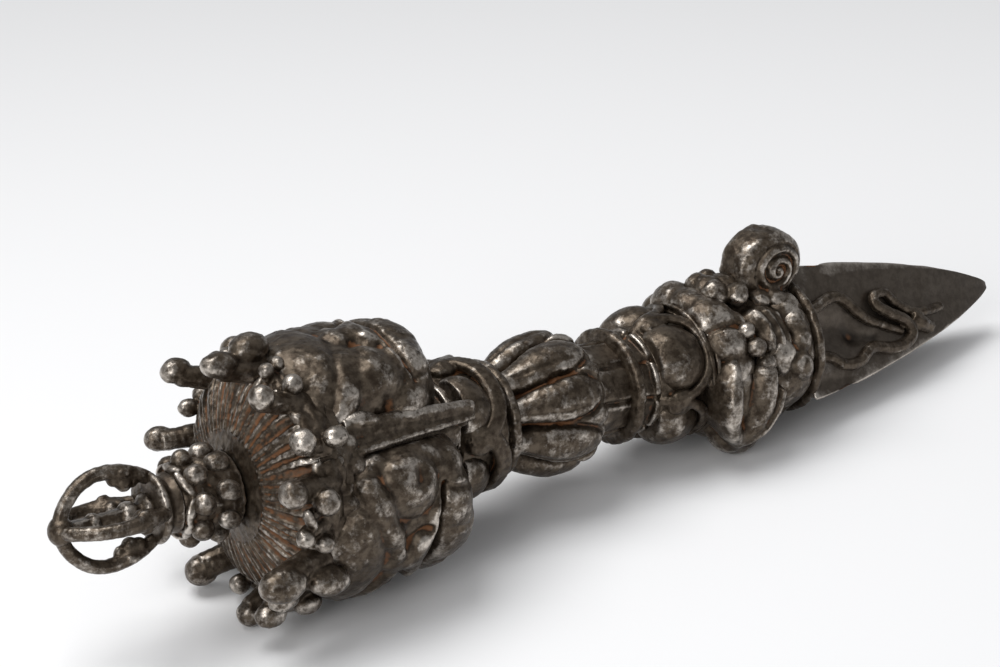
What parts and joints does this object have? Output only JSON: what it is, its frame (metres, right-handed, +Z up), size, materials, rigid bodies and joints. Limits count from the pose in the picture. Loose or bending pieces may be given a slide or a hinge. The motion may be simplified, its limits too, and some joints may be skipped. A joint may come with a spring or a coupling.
{
  "type": "ritual dagger",
  "caption": "Three-edged ritual dagger of dark iron with wrathful guardian heads, a lotus grip, a sea-monster head and a half-vajra finial, lying on its side.",
  "frame": {"origin": "middle of the dagger's length, on the surface that it rests on", "axes": "+X towards the blade's point, +Z up"},
  "size_m": [0.1997, 0.046, 0.047],
  "materials": {
    "dark_iron": "satin",
    "worn_iron": "polished by handling",
    "rusted_iron": "matte",
    "blade_iron": "satin"
  },
  "bodies": {
    "root": {"blade": "blade_iron", "serpents_top": "dark_iron", "serpents_front": "dark_iron", "serpents_back": "dark_iron", "makara_head": "dark_iron", "makara_collar": "dark_iron", "makara_trunk": "dark_iron", "makara_snout": "worn_iron", "makara_eyes": "worn_iron", "makara_cheeks": "dark_iron", "makara_jaw_front": "dark_iron", "makara_jaw_back": "dark_iron", "makara_mouth_rim": "dark_iron", "lower_knot_core": "rusted_iron", "lower_knot_ring": "dark_iron", "lower_knot_domes": "worn_iron", "lower_knot_straps": "dark_iron", "lotus_grip": "dark_iron", "upper_knot_core": "rusted_iron", "upper_knot_ring": "dark_iron", "upper_knot_domes": "worn_iron", "upper_knot_straps": "dark_iron", "head_block": "rusted_iron", "face_top": "dark_iron", "face_front": "dark_iron", "face_back": "dark_iron", "ribbon_front": "dark_iron", "ribbon_back": "dark_iron", "ribbon_under": "dark_iron", "crown_top": "worn_iron", "crown_front": "worn_iron", "crown_back": "worn_iron", "hair_cap": "rusted_iron", "topknot": "dark_iron", "topknot_beads": "worn_iron", "finial_cup": "dark_iron", "centre_prong": "dark_iron", "prong_top": "worn_iron", "prong_front": "worn_iron", "prong_under": "worn_iron", "prong_back": "worn_iron", "finial_tip": "worn_iron"}
  },
  "joints": []
}
